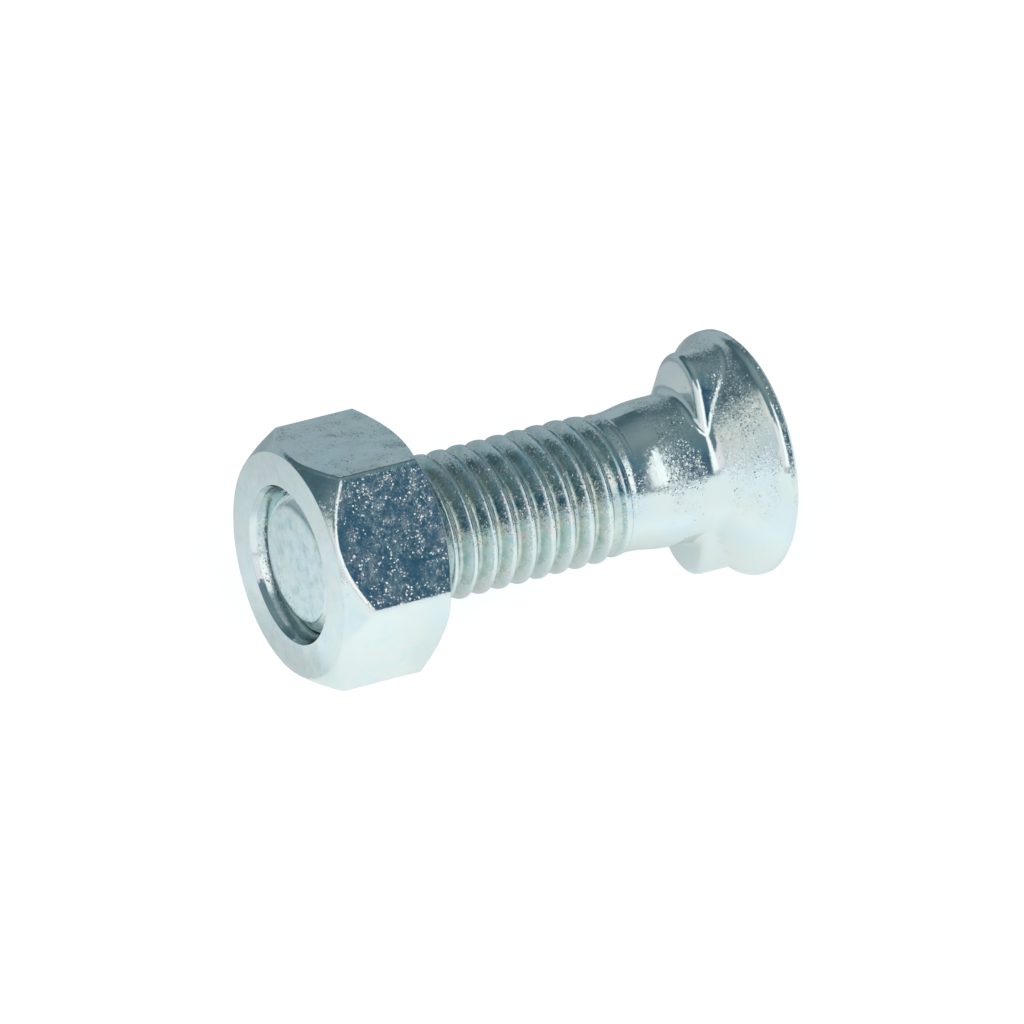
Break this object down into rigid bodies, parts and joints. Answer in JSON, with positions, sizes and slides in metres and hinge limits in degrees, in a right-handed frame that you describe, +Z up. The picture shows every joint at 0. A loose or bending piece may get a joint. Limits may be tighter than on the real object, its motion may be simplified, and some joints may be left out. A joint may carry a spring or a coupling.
{
  "type": "plow bolt with nut",
  "caption": "Zinc-plated countersunk plow bolt with an oval key under its flat head and a hexagon nut run onto the end of its thread.",
  "frame": {"origin": "centre of the head's flat face, on the bolt's axis", "axes": "+X along the bolt's axis out of the head's flat face, so the shank points to -X; +Z up as the bolt lies on its side, square to the nut's upper flat"},
  "size_m": [0.0407, 0.0214, 0.02],
  "materials": {
    "bolt_zinc": "bright bluish zinc plating on steel",
    "nut_zinc": "bright bluish zinc plating on steel"
  },
  "bodies": {
    "bolt": {"bolt": "bolt_zinc"},
    "nut": {"nut": "nut_zinc"}
  },
  "joints": [
    {"name": "nut_travel", "type": "slide", "parent": "bolt", "child": "nut", "axis": [1, 0, 0], "range_m": [-0.012, 0.0155]}
  ]
}
